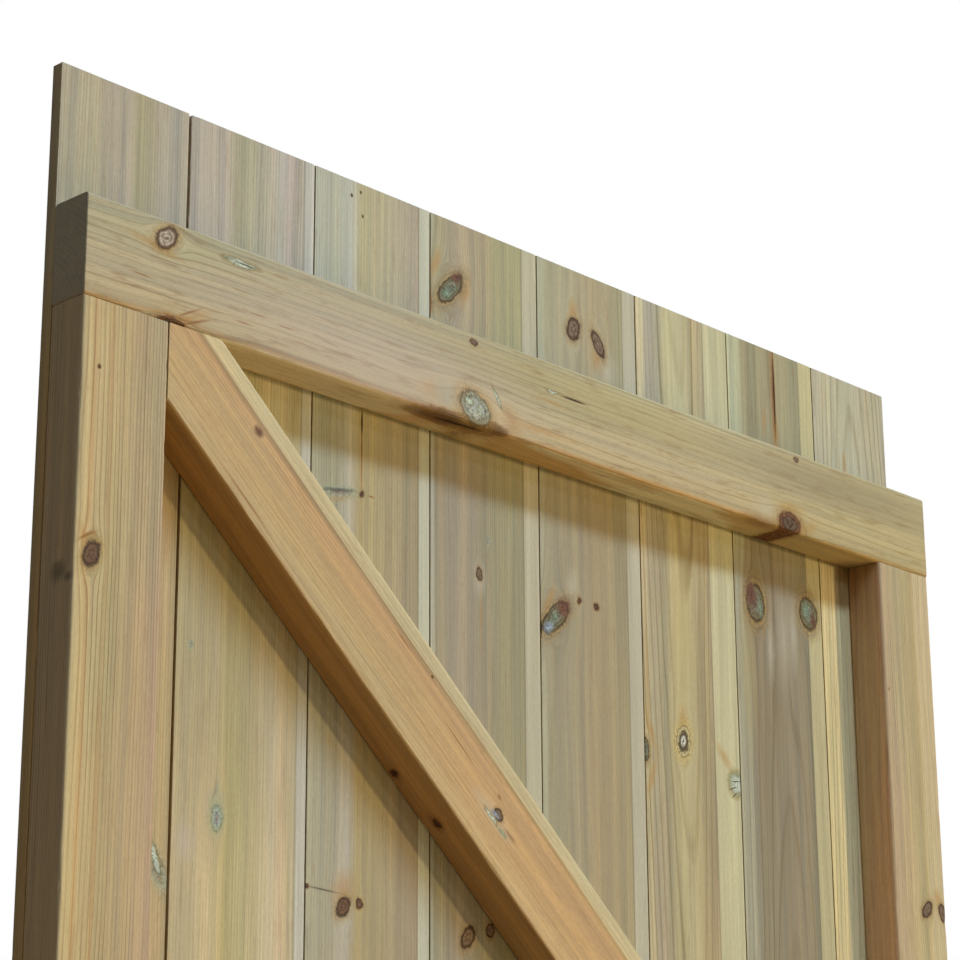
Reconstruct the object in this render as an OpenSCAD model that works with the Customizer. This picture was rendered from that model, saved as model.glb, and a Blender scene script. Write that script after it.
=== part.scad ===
// Framed, ledged and braced garden gate leaf with tongue-and-groove boards.
// Millimetres, +Z up. The framed side faces -Y, the boarded side +Y, and the leaf hangs by
// its right-hand edge, the +X one. The origin is the centre of that hanging edge.

/* [Leaf] */
// Overall width, across the ends of the rails
leaf_w = 915; // [800:5:1000]
// Overall height, which is the length of the boards
leaf_h = 1800; // [1600:10:2000]
// How far the boards stand past the top and bottom rails
board_overhang = 101; // [40:1:140]

/* [Frame timber] */
// Face width of the stiles, rails and braces
timber_w = 70; // [55:1:90]
// Thickness of the stiles, rails and braces
timber_t = 33; // [28:1:45]
// Radius of the eased long arrises
arris_r = 2.5; // [1:0.5:5]
// Length of the brace's level seat under a rail
brace_seat = 46; // [30:1:60]

/* [Boards] */
// Thickness of a board
board_t = 11.5; // [10:0.5:18]
// Width of the board on the lock side, ripped down to fit
first_board_w = 110.5; // [90:0.5:115]
// Width of the board on the hanging side, ripped down to fit
last_board_w = 103.5; // [90:0.5:115]
// How far the last board stops short of the hanging edge
board_setback = 5.5; // [0:0.5:10]
// Open joint left between two boards
board_gap = 0.9; // [0.5:0.1:3]
// Wider joint beside the first board
first_gap = 1.5; // [0.5:0.1:3]
// Length of the tongue
tongue_l = 6; // [4:0.5:8]
// Thickness of the tongue
tongue_t = 3.6; // [3:0.2:5]
// Side of the chamfer that makes the V joints of the boarded side
vee = 2.5; // [1:0.5:4]

/* [Nails] */
// Diameter of a nail head
nail_head_d = 6.5; // [5:0.5:9]
// How far a nail head stands above the boards
nail_head_t = 0.8; // [0.5:0.1:1.5]

/* [Hidden] */
$fn = 48;

// Heights of the frame, from the middle of the leaf
top_rail_z = leaf_h / 2 - board_overhang - timber_w / 2;
stile_l = 2 * top_rail_z - timber_w;
panel_h = top_rail_z - timber_w;
panel_w = leaf_w - 2 * timber_w;
panel_z = top_rail_z / 2;
panel_x = -leaf_w / 2;
stile_x = timber_w / 2;

// A brace sits level under the rail at its upper end and, turned half round, at its lower end,
// so its two long arrises run through the ends of those two seats.
seat_span = panel_w - 2 * brace_seat;
brace_angle = acos(timber_w / norm([seat_span, panel_h])) - atan2(seat_span, panel_h);

// Boards, counted from the lock side
board_count = 8;
frame_face_y = timber_t / 2;
board_face_y = frame_face_y + board_t;
board_pitch = (leaf_w - board_setback - first_board_w - last_board_w) / (board_count - 2);
groove_l = tongue_l + 1;
groove_t = tongue_t + 0.4;
back_arris = 0.6;

// Nails: two in a board at each rail and brace, and a row down each stile
nail_spread = 0.24;
nail_stagger = 11;
stile_nails_in_panel = 3;

function board_left(i) =
    i == 0 ? -leaf_w : -leaf_w + first_board_w + (i - 1) * board_pitch;
function board_right(i) = i == board_count - 1 ? -board_setback : board_left(i + 1);
function gap_after(i) = i == board_count - 1 ? 0 : i == 0 ? first_gap : board_gap;
function board_middle(i) = (board_left(i) + board_right(i)) / 2;
function nail_x(i, side) = board_middle(i) + side * nail_spread * board_pitch;
function brace_z(x) = -(x - panel_x) * tan(brace_angle);

// Section of the planed frame timber: a rectangle with four eased arrises.
module timber_section(w, t, r) {
    union() {
        square([w - 2 * r, t], center = true);
        square([w, t - 2 * r], center = true);
        for (sx = [-1, 1], sy = [-1, 1])
            translate([sx * (w / 2 - r), sy * (t / 2 - r)]) circle(r);
    }
}

// A length of frame timber standing on end, centred on the origin.
module timber(l) {
    linear_extrude(l, center = true) timber_section(timber_w, timber_t, arris_r);
}

module rail(l) {
    color("#c6b48c") rotate([0, 90, 0]) timber(l);
}

module stile() {
    color("#bfae84") timber(stile_l);
}

// A brace, cut off by the four sides of its panel.
module brace() {
    color("#c79f6c") intersection() {
        cube([panel_w, 2 * timber_t, panel_h], center = true);
        rotate([0, 90 + brace_angle, 0]) timber(2 * (panel_w + panel_h));
    }
}

// Section of a board seen from above, from its grooved edge at x = 0 to its tongued edge.
module board_section(w, grooved, tongued) {
    middle = board_t / 2;
    groove = groove_t / 2;
    tongue = tongue_t / 2;
    left = grooved ? [[0, middle - groove], [groove_l, middle - groove],
                      [groove_l, middle + groove], [0, middle + groove]] : [];
    right = tongued ? [[w, middle + tongue], [w + tongue_l, middle + tongue],
                       [w + tongue_l, middle - tongue], [w, middle - tongue]] : [];
    polygon(concat([[back_arris, 0], [0, back_arris]], left,
                   [[0, board_t - vee], [vee, board_t], [w - vee, board_t], [w, board_t - vee]],
                   right, [[w, back_arris], [w - back_arris, 0]]));
}

module board(i) {
    color(["#aaa48d", "#b3ad96", "#b0a98c", "#aca68a", "#a89f84", "#b0ab90", "#ada78c",
           "#b5af98"][i])
        translate([board_left(i), frame_face_y, -leaf_h / 2])
            linear_extrude(leaf_h)
                board_section(board_right(i) - board_left(i) - gap_after(i),
                              i > 0, i < board_count - 1);
}

module nail_head(x, z) {
    color("#8b8f8c") translate([x, board_face_y, z])
        rotate([-90, 0, 0]) cylinder(h = nail_head_t, d = nail_head_d);
}

// Two staggered nails in every board along a rail.
module rail_nails(z) {
    for (i = [0 : board_count - 1], side = [-1, 1])
        nail_head(nail_x(i, side), z + side * nail_stagger);
}

// Nails at even steps down a stile, beside both panels.
module stile_nails(x) {
    for (panel = [-1, 1], k = [1 : stile_nails_in_panel])
        nail_head(x, panel * panel_z + panel_h * (k / (stile_nails_in_panel + 1) - 0.5));
}

// Two nails in every whole board that crosses a brace, on the brace's centre line.
module brace_nails(z) {
    for (i = [1 : board_count - 2], side = [-1, 1])
        nail_head(nail_x(i, side), z + brace_z(nail_x(i, side)));
}

module top_rail() { translate([panel_x, 0, top_rail_z]) rail(leaf_w); }
module middle_rail() { translate([panel_x, 0, 0]) rail(panel_w); }
module bottom_rail() { translate([panel_x, 0, -top_rail_z]) rail(leaf_w); }
module lock_stile() { translate([-leaf_w + stile_x, 0, 0]) stile(); }
module hanging_stile() { translate([-stile_x, 0, 0]) stile(); }
module upper_brace() { translate([panel_x, 0, panel_z]) brace(); }
module lower_brace() { translate([panel_x, 0, -panel_z]) brace(); }

top_rail();
middle_rail();
bottom_rail();
lock_stile();
hanging_stile();
upper_brace();
lower_brace();
board(0);  // board_1
board(1);  // board_2
board(2);  // board_3
board(3);  // board_4
board(4);  // board_5
board(5);  // board_6
board(6);  // board_7
board(7);  // board_8
rail_nails(top_rail_z);  // nails_top_rail
rail_nails(0);  // nails_middle_rail
rail_nails(-top_rail_z);  // nails_bottom_rail
stile_nails(-leaf_w + stile_x);  // nails_lock_stile
stile_nails(-stile_x);  // nails_hanging_stile
brace_nails(panel_z);  // nails_upper_brace
brace_nails(-panel_z);  // nails_lower_brace
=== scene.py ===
# A framed, ledged and braced garden gate leaf of pressure-treated pine. The framed side faces -Y,
# the boards are on the +Y side and the leaf hangs by its +X edge.
import math

import bmesh
import bpy
from mathutils import Matrix, Vector, noise


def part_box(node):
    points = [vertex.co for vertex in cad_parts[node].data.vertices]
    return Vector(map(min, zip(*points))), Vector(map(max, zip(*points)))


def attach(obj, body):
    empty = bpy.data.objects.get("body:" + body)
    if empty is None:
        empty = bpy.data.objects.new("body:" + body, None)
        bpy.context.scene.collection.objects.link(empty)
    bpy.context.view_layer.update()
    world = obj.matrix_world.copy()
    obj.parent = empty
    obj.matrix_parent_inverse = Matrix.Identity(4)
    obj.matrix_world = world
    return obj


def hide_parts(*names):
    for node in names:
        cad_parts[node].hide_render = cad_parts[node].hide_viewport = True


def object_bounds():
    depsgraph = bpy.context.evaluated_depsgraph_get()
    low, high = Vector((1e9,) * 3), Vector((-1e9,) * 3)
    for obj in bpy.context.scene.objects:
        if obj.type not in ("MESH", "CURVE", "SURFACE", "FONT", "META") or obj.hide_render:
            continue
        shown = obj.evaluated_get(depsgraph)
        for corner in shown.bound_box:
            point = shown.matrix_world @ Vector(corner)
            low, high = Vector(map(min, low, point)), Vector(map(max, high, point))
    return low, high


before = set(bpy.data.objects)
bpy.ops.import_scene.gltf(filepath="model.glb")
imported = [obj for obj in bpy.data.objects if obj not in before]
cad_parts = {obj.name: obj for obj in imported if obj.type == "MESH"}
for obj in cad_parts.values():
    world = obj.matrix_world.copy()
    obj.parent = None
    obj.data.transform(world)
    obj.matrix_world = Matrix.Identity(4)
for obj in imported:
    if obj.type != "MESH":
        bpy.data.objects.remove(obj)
cad_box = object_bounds()


# ----------------------------------------------------------------------------
# Top rail: one length of planed pine, eased on its long arrises, that runs right across the leaf
# on top of both stiles. Its knots broke out along the lower arris when it was machined, and one
# of them carries pale dried resin.

MM = 0.001
TIMBER_WIDTH = 70
TIMBER_THICKNESS = 33
ARRIS_RADIUS = 2.5
ARRIS_STEPS = 5
FACE_STEP = 5.5
LENGTH_STEP = 6
SAWN_EASE = 0.5
SHARP_ARRIS = 0.25
CRISP_EDGE = 38


def subdivided(outline, step):
    """The same closed outline, with points added so that no side is much longer than step."""
    points = []
    for (a0, d0), (a1, d1) in zip(outline, outline[1:] + outline[:1]):
        parts = max(1, round(math.hypot(a1 - a0, d1 - d0) / step))
        points += [(a0 + (a1 - a0) * k / parts, d0 + (d1 - d0) * k / parts) for k in range(parts)]
    return points


def planed_section(width, thickness, radius):
    """Outline of a planed timber with round arrises, as (across, depth) points."""
    outline = []
    for quarter, (across, depth) in enumerate(((1, -1), (1, 1), (-1, 1), (-1, -1))):
        for step in range(ARRIS_STEPS + 1):
            turn = math.radians(90 * (quarter - 1 + step / ARRIS_STEPS))
            outline.append((across * (width / 2 - radius) + radius * math.cos(turn),
                            depth * (thickness / 2 - radius) + radius * math.sin(turn)))
    return subdivided(outline, FACE_STEP)


def outward(section):
    """At each point of a section: the outward direction, and how sharply the outline turns, from
    0 to 1. It turns by SHARP_ARRIS radians or more at a sharp arris."""
    found = []
    for k, here in enumerate(section):
        before, after = Vector(section[k - 1]), Vector(section[(k + 1) % len(section)])
        into, out = Vector(here) - before, after - Vector(here)
        along = (into.normalized() + out.normalized()).normalized()
        turn = into.angle_signed(out)
        found.append((along.y, -along.x, max(0.0, min(1.0, -turn / SHARP_ARRIS))))
    return found


def sawn_length(section, length, place, seed, wander=0.06, knocks=1.4, chips=()):
    """Sweeps a section along the grain. The faces wander inwards by a tenth of a millimetre, the
    arrises carry small knocks, and a chip is (across, depth, along, reach, run, deep)."""
    normals = outward(section)
    count = round(length / LENGTH_STEP)
    stations = [length * (k / count - 0.5) for k in range(count + 1)]
    stations[1:1] = [stations[0] + SAWN_EASE]
    stations[-1:-1] = [stations[-1] - SAWN_EASE]
    shape = bmesh.new()
    rings = []
    for s in stations:
        eased = SAWN_EASE if s in (stations[0], stations[-1]) else 0.0
        ring = []
        for k, ((a, d), (na, nd, sharp)) in enumerate(zip(section, normals)):
            wave = noise.noise(Vector((a / 25, d / 25 + seed, s / 130)))
            bruise = noise.noise(Vector((k * 0.37, seed * 3.1, s / 11)))
            inwards = eased + wander * (1 + wave) + sharp * max(0.0, bruise - 0.3) * knocks
            for ca, cd, cs, reach, run, deep in chips:
                near = 1 - ((a - ca) / reach) ** 2 - ((d - cd) / reach) ** 2 - ((s - cs) / run) ** 2
                if near > 0:
                    inwards += deep * math.sqrt(near) * (0.8 + 0.4 * bruise)
            ring.append(shape.verts.new((a - na * inwards, d - nd * inwards, s)))
        rings.append(ring)
    for low, high in zip(rings, rings[1:]):
        for k in range(len(section)):
            j = (k + 1) % len(section)
            shape.faces.new((low[k], low[j], high[j], high[k]))
    shape.faces.new(rings[0][::-1])
    shape.faces.new(rings[-1])
    shape.transform(place @ Matrix.Scale(MM, 4))
    return shape


def finished(name, shape):
    """Turns a bmesh into an object with smooth faces, crisp where they turn by CRISP_EDGE."""
    mesh = bpy.data.meshes.new(name)
    shape.to_mesh(mesh)
    shape.free()
    mesh.shade_smooth()
    mesh.set_sharp_from_angle(angle=math.radians(CRISP_EDGE))
    piece = bpy.data.objects.new(name, mesh)
    bpy.context.scene.collection.objects.link(piece)
    return piece


def linear(colour):
    """An sRGB hex colour as linear RGBA."""
    parts = [int(colour[k:k + 2], 16) / 255 for k in (1, 3, 5)]
    return tuple(c / 12.92 if c <= 0.04045 else ((c + 0.055) / 1.055) ** 2.4 for c in parts) + (1,)


def add(tree, kind, inputs=(), output=0, stops=(), **settings):
    """Adds a shader node with its settings, sets or links its inputs, and returns one output."""
    node = tree.nodes.new("ShaderNode" + kind)
    for name, value in settings.items():
        setattr(node, name, value)
    for key, value in (inputs.items() if isinstance(inputs, dict) else enumerate(inputs)):
        if isinstance(value, bpy.types.NodeSocket):
            tree.links.new(value, node.inputs[key])
        else:
            node.inputs[key].default_value = value
    if stops:
        ramp = node.color_ramp.elements
        ramp.remove(ramp[1])
    for k, (position, colour, *alpha) in enumerate(stops):
        stop = ramp.new(position) if k else ramp[0]
        stop.position = position
        stop.color = linear(colour)[:3] + ((alpha or [1])[0],)
    return node.outputs[output] if node.outputs else node


# Knots and marks, from the middle out to KNOT_REACH radii: (distance in radii, colour, cover).
# Stains come first and lie under the knots, and the tints after them colour parts of a knot. A
# mark slighter than PIN_KNOT keeps a clean outline. THROUGH is the half depth of one that shows
# on both faces.
KNOT_REACH = 2
PIN_KNOT = 1.2
THROUGH = 90
KNOT_LOOKS = {
    "honey": [(0, "#b07a35", 0.6), (0.6, "#b38542", 0.4), (1.5, "#b8904e", 0)],
    "rust": [(0, "#7d4a22", 0.85), (0.6, "#8d5a2c", 0.7), (1, "#a5753a", 0.35),
             (1.6, "#a5753a", 0)],
    "pale": [(0, "#ccc2ac", 0.45), (0.7, "#c8c0a8", 0.28), (1.8, "#c4bca4", 0)],
    "mist": [(0, "#8f9880", 0.6), (0.8, "#9aa086", 0.36), (1.4, "#a3a98c", 0)],
    "blush": [(0, "#c6b4a4", 0.5), (0.8, "#c6b4a4", 0.3), (1.8, "#c6b4a4", 0)],
    "straw": [(0, "#b3a062", 0.42), (0.8, "#b3a062", 0.26), (1.8, "#b3a062", 0)],
    # shade: a grey-brown streak; laid wide on the second board, it is painted shadow.
    "shade": [(0, "#877a60", 0.5), (0.8, "#877a60", 0.32), (1.7, "#877a60", 0)],
    "umber": [(0, "#4f3016", 0.92), (0.6, "#5d3a1a", 0.85), (0.95, "#7a4f24", 0.7),
              (1.1, "#9a6c38", 0.3), (1.4, "#a5783f", 0)],
    "plum": [(0, "#6d5a48", 1), (0.3, "#544333", 1), (0.5, "#6b533e", 1), (0.66, "#4b3626", 1),
             (0.8, "#7a4f30", 1), (0.95, "#54341d", 0.95), (1.06, "#8a5c2e", 0.7),
             (1.25, "#a87c3c", 0.4), (1.8, "#a98a4a", 0)],
    "russet": [(0, "#80604a", 1), (0.35, "#5f4631", 1), (0.62, "#75563c", 1), (0.84, "#42301e", 1),
               (1.0, "#563c22", 0.85), (1.12, "#96702e", 0.55), (1.35, "#a98844", 0.35),
               (1.9, "#ab8c48", 0)],
    "dull": [(0, "#8d7a70", 0.9), (0.2, "#a3908a", 0.85), (0.38, "#84908c", 0.9),
             (0.55, "#a3ab98", 0.75), (0.78, "#8f9c84", 0.7), (0.95, "#7f8a6c", 0.6),
             (1.15, "#a3a67c", 0.35), (1.8, "#a7a880", 0)],
    "ringed": [(0, "#584432", 1), (0.2, "#6b5642", 1), (0.32, "#b8a890", 1), (0.46, "#8c7860", 1),
               (0.6, "#c0b098", 1), (0.72, "#8a745c", 1), (0.84, "#57402b", 1),
               (0.97, "#5f4528", 0.95), (1.07, "#8f6c3c", 0.75), (1.2, "#a8864a", 0.5),
               (1.8, "#a98c58", 0)],
    "sage": [(0, "#c2c3b4", 1), (0.3, "#a5a693", 1), (0.5, "#b5b5a2", 1), (0.66, "#8d8c78", 1),
             (0.82, "#a09b80", 0.95), (0.93, "#6b5c40", 0.9), (1.02, "#8d6f42", 0.65),
             (1.2, "#ac8a50", 0.4), (1.7, "#b08c50", 0)],
    "slate": [(0, "#7a7e6b", 1), (0.25, "#65624b", 1), (0.42, "#7f7f69", 1), (0.6, "#625b40", 1),
              (0.76, "#797052", 1), (0.88, "#56472a", 1), (0.97, "#45341b", 0.9),
              (1.07, "#8d6e3a", 0.7), (1.2, "#a88a50", 0.55), (1.34, "#7a623a", 0.4),
              (1.45, "#a48752", 0.35), (1.9, "#a17e49", 0)],
    "bark": [(0, "#8d7660", 1), (0.3, "#745c48", 1), (0.6, "#806a54", 1), (0.8, "#543c2a", 1),
             (0.97, "#49341f", 0.95), (1.08, "#86683c", 0.55), (1.35, "#a98450", 0.3),
             (1.8, "#a98f66", 0)],
    "eye": [(0, "#39322a", 1), (0.08, "#453d30", 1), (0.14, "#cfccba", 1), (0.32, "#c4c0a8", 1),
            (0.42, "#5b4c34", 1), (0.64, "#65553a", 1), (0.76, "#b8a878", 0.95),
            (0.88, "#c6b684", 0.9), (0.97, "#80683a", 0.85), (1.06, "#c6ae6c", 0.7),
            (1.3, "#c9ae68", 0.45), (1.9, "#c6ac72", 0)],
    "haze": [(0, "#a28e80", 0.85), (0.35, "#8f8f80", 0.75), (0.7, "#93a08c", 0.6),
             (1, "#9ba688", 0.4), (1.7, "#a9a985", 0)],
    "pin": [(0, "#6a4a34", 1), (0.45, "#4b3221", 1), (0.8, "#5d4026", 0.95), (1.05, "#8d6638", 0.5),
            (1.7, "#a98f66", 0)],
    "smoke": [(0, "#3d352b", 0.8), (0.8, "#4d4436", 0.55), (1.6, "#5d5443", 0)],
    "resin": [(0, "#c6ccb6", 0.95), (0.55, "#bcc2ac", 0.9), (0.85, "#969a7c", 0.85),
              (1.05, "#8a7a48", 0.6), (1.5, "#9a8550", 0)],
    "blue": [(0, "#aab1bd", 0.95), (0.5, "#8f9aa8", 0.75), (1.2, "#8f9989", 0)],
    "fern": [(0, "#8ca188", 0.85), (0.5, "#75866b", 0.6), (1.2, "#899278", 0)],
    "wine": [(0, "#633c2b", 0.95), (0.6, "#6b4636", 0.85), (1.0, "#70503e", 0.45),
             (1.4, "#8a6d58", 0)],
    "slit": [(0, "#23140a", 1), (0.7, "#38220c", 0.9), (1, "#70481c", 0.5), (1.4, "#8d6f45", 0)],
}
STAINS = ("honey", "rust", "pale", "mist", "blush", "straw", "shade", "umber")
TURNS_GRAIN = ("plum", "russet", "dull", "ringed", "sage", "slate", "bark", "eye", "pin")

# How closely the grain hugs a knot across, in depth and along it, and how soon it runs straight.
FLOW_ACROSS = 1.05
FLOW_DEPTH = 0.9
FLOW_ALONG = 0.62
FLOW_FALL = 1.6

# The boards' colour is multiplied by a tint below the top rail, on their framed face only. The
# heights count from the middle of the leaf.
TINTED_BELOW = 690
UNTINTED_ABOVE = 780
TINTED_DEPTH = 5


def treated_pine(name, place, width, seed, pith, lean, ring, bands, contrast, late="#a38c62",
                 sway=(11, 420), fleck=0.25, silk=0.16, aged=None, strip=None, sides=(), joints=(),
                 knots=()):
    """Planed pressure-treated pine, dry and dull: growth rings round a pith line, fine fibre, a
    green and rosy cast, and knots that the grain flows round. A knot is (look, across, along, half
    width, half length, slope in degrees), then, if it doesn't go right through, (depth, half depth,
    skew in degrees). The tint below the top rail, and the tint of each of the sides, are factors on
    linear red, green and blue. The tints of the sides are painted light and shade, and the joints
    between boards get painted shade."""
    material = bpy.data.materials.new(name)
    material.use_nodes = True
    tree = material.node_tree
    tree.nodes.clear()

    # Millimetres in the timber's own axes: across, depth, along the grain. The scale of a noise
    # is one over the size of what it draws.
    where = add(tree, "TexCoord", output="Object")
    local = add(tree, "Mapping", {"Vector": where, "Location": place.to_translation(),
                                  "Rotation": place.to_euler(), "Scale": (MM, MM, MM)},
                vector_type="TEXTURE")
    shift = (seed * 313, seed * 127, seed * 977)
    grown = add(tree, "VectorMath", [local, shift], operation="ADD")

    # Slow sway of the grain, and the ragged outline of knots.
    reach, wave = sway
    slow = add(tree, "VectorMath", [grown, (1 / 55, 1 / 55, 1 / wave)], operation="MULTIPLY")
    drift = add(tree, "TexNoise", {"Vector": slow, "Scale": 1, "Detail": 2, "Roughness": 0.42},
                output="Color")
    patches = add(tree, "SeparateXYZ", [drift], output=2)
    drift = add(tree, "VectorMath", [drift, (0.5, 0.5, 0.5)], operation="SUBTRACT")
    swayed = add(tree, "VectorMath", [drift, (reach, reach, 0), local], operation="MULTIPLY_ADD")
    mottle = add(tree, "TexNoise", {"Vector": grown, "Scale": 1 / 7, "Detail": 1}, output="Color")
    mottle = add(tree, "VectorMath", [mottle, (0.5, 0.5, 0.5)], operation="SUBTRACT")
    ragged = add(tree, "VectorMath", [mottle, (3.2, 3.2, 3.2), local], operation="MULTIPLY_ADD")

    # Each knot pushes the grain aside, as water parts round a stone.
    start = add(tree, "SeparateXYZ", [swayed])
    across = start
    depth = add(tree, "SeparateXYZ", [swayed], output=1)
    along = add(tree, "SeparateXYZ", [swayed], output=2)
    nearness = {}
    for look, ka, ks, half_width, half_length, slope, *buried in knots:
        kd, half_depth, skew = (buried + [0] if len(buried) == 2 else buried) or (0, THROUGH, 0)
        frame_of_knot = {"Location": (ka, kd, ks),
                         "Rotation": (math.radians(skew), math.radians(slope), 0),
                         "Scale": (half_width, half_depth, half_length)}
        clean = look == "slit" or min(half_width, half_length) < PIN_KNOT
        outline = local if clean else ragged
        offset = add(tree, "Mapping", {"Vector": outline, **frame_of_knot}, vector_type="TEXTURE")
        away = add(tree, "VectorMath", [offset], output="Value", operation="LENGTH")
        if look in nearness:
            away = add(tree, "Math", [nearness[look], away], operation="MINIMUM")
        nearness[look] = away
        if look in TURNS_GRAIN:
            turn = math.radians(slope)
            wide = math.hypot(half_width * math.cos(turn), half_length * math.sin(turn))
            tall = math.hypot(half_length * math.cos(turn), half_width * math.sin(turn))
            flow = add(tree, "Mapping", {"Vector": local, "Location": (ka, kd, ks),
                                         "Scale": (wide / FLOW_ACROSS, half_depth / FLOW_DEPTH,
                                                   tall / FLOW_ALONG)},
                       vector_type="TEXTURE")
            flow = add(tree, "VectorMath", [flow, flow], output="Value", operation="DOT_PRODUCT")
            flow = add(tree, "Math", [flow, 1.0], operation="MAXIMUM")
            flow = add(tree, "Math", [flow, FLOW_FALL], operation="POWER")
            aside = add(tree, "Math", [start, ka], operation="SUBTRACT")
            aside = add(tree, "Math", [aside, flow], operation="DIVIDE")
            across = add(tree, "Math", [across, aside], operation="SUBTRACT")
    grain = add(tree, "CombineXYZ", [across, depth, along])

    # Growth rings: distance from the leaning pith line, unevenly spaced and unevenly dark.
    from_pith = add(tree, "Mapping", {"Vector": grain, "Location": (*pith, 0),
                                      "Rotation": [math.radians(t) for t in (*lean, 0)]},
                    vector_type="TEXTURE")
    from_pith = add(tree, "VectorMath", [from_pith, (1, 1, 0)], operation="MULTIPLY")
    radius = add(tree, "VectorMath", [from_pith], output="Value", operation="LENGTH")
    years = add(tree, "Math", [radius, 1 / ring], operation="MULTIPLY")
    season = add(tree, "Math", [radius, 1 / 17], operation="MULTIPLY")
    season = add(tree, "TexNoise", {"W": season, "Scale": 1, "Detail": 1}, noise_dimensions="1D")
    years = add(tree, "Math", [season, 1.6, years], operation="MULTIPLY_ADD")
    phase = add(tree, "Math", [years], operation="FRACT")
    line = add(tree, "ValToRGB", [phase],
               stops=[(0, "#505050"), (0.07, "#000000"), (0.5, "#1c1c1c"), (0.72, "#808080"),
                      (0.86, "#ffffff"), (0.95, "#e0e0e0"), (1, "#505050")])
    year = add(tree, "Math", [years], operation="FLOOR")
    strength = add(tree, "TexWhiteNoise", {"W": year}, noise_dimensions="1D")
    strength = add(tree, "MapRange", {0: strength, 3: 0.35, 4: 1.0})
    line = add(tree, "Math", [line, strength], operation="MULTIPLY")
    clear = add(tree, "MapRange", {0: patches, 1: 0.3, 2: 0.62, 3: 0.45, 4: 1.1})
    line = add(tree, "Math", [line, clear], operation="MULTIPLY")

    # Fibre, pores, short flecks and broader streaks of colour, all drawn out along the grain.
    # Real fibre is a few hundredths of a millimetre wide; at a millimetre it is coarse enough to
    # show.
    grain = add(tree, "VectorMath", [grain, shift], operation="ADD")
    fine = add(tree, "VectorMath", [grain, (0.9, 0.9, 1 / 110)], operation="MULTIPLY")
    fibre = add(tree, "TexNoise", {"Vector": fine, "Scale": 1, "Detail": 2, "Roughness": 0.7})
    pored = add(tree, "VectorMath", [grain, (1.3, 1.3, 1 / 4)], operation="MULTIPLY")
    pores = add(tree, "TexNoise", {"Vector": pored, "Scale": 1, "Detail": 1})
    broad = add(tree, "VectorMath", [grain, (1 / 8, 1 / 8, 1 / 500)], operation="MULTIPLY")
    streak = add(tree, "TexNoise", {"Vector": broad, "Scale": 1, "Detail": 2})
    short = add(tree, "VectorMath", [grain, (1 / 4.5, 1 / 4.5, 1 / 32)], operation="MULTIPLY")
    flecks = add(tree, "TexNoise", {"Vector": short, "Scale": 1, "Detail": 3, "Roughness": 0.62})
    flecks = add(tree, "MapRange", {0: flecks, 1: 0.54, 2: 0.74, 3: 0.0, 4: fleck})

    # Colour: bands across the face, a rosy or green cast, the tint below the rail, late wood,
    # flecks, fibre.
    spread = add(tree, "MapRange", {0: across, 1: -width / 2, 2: width / 2})
    colour = add(tree, "ValToRGB", [spread], stops=[(mm / width, tint) for mm, tint in bands])
    cast = add(tree, "ValToRGB", [streak], stops=[(0.33, "#a29d85"), (0.67, "#b9a678")])
    colour = add(tree, "Mix", {0: 0.3, 6: colour, 7: cast}, output=2, data_type="RGBA")
    green = add(tree, "MapRange", {0: patches, 1: 0.48, 2: 0.68, 3: 0.0, 4: 0.32})
    colour = add(tree, "Mix", {0: green, 6: colour, 7: linear("#a7aa80")}, output=2,
                 data_type="RGBA")
    # A tint on the framed face below the top rail, fading out above it.
    if aged:
        below_rail = add(tree, "MapRange", {0: along, 1: TINTED_BELOW, 2: UNTINTED_ABOVE,
                                        3: 1.0, 4: 0.0})
        inner = add(tree, "MapRange", {0: depth, 1: 0.0, 2: TINTED_DEPTH, 3: 1.0, 4: 0.0})
        below_rail = add(tree, "Math", [below_rail, inner], operation="MULTIPLY")
        colour = add(tree, "Mix", {0: below_rail, 6: colour, 7: (*aged, 1)}, output=2,
                     data_type="RGBA", blend_type="MULTIPLY")
    dark = add(tree, "Math", [line, contrast], operation="MULTIPLY")
    colour = add(tree, "Mix", {0: dark, 6: colour, 7: linear(late)}, output=2, data_type="RGBA",
                 blend_type="MULTIPLY")
    colour = add(tree, "Mix", {0: flecks, 6: colour, 7: linear("#8d6c43")}, output=2,
                 data_type="RGBA")
    shade = add(tree, "MapRange", {0: fibre, 1: 0.25, 2: 0.75, 3: 1 - silk, 4: 1 + silk})
    speck = add(tree, "MapRange", {0: pores, 1: 0.25, 2: 0.75, 3: 0.93, 4: 1.07})
    shade = add(tree, "Math", [shade, speck], operation="MULTIPLY")
    tone = add(tree, "MapRange", {0: streak, 1: 0.3, 2: 0.7, 3: 0.89, 4: 1.11})
    shade = add(tree, "Math", [shade, tone], operation="MULTIPLY")
    colour = add(tree, "VectorMath", [colour, shade], operation="MULTIPLY")

    # A pale sapwood margin with a fine dark line on its inner edge.
    if strip:
        straight = add(tree, "SeparateXYZ", [local])
        margin = add(tree, "MapRange", {0: straight, 1: -width / 2, 2: width / 2})
        edge = 1 - strip[0] / width
        thin = 1.1 / width
        margin = add(tree, "ValToRGB", [margin],
                     stops=[(0, "#776c52", 0), (edge - thin, "#776c52", 0), (edge, "#776c52", 0.5),
                            (edge + thin, strip[1], 0.8), (1, strip[1], 0.8)]).node
        front = add(tree, "SeparateXYZ", [local], output=1)
        front = add(tree, "Math", [front, 0.0], operation="LESS_THAN")
        cover = add(tree, "Math", [margin.outputs[1], front], operation="MULTIPLY")
        sap = add(tree, "VectorMath", [margin.outputs[0], shade], operation="MULTIPLY")
        colour = add(tree, "Mix", {0: cover, 6: colour, 7: sap}, output=2, data_type="RGBA")

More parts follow.
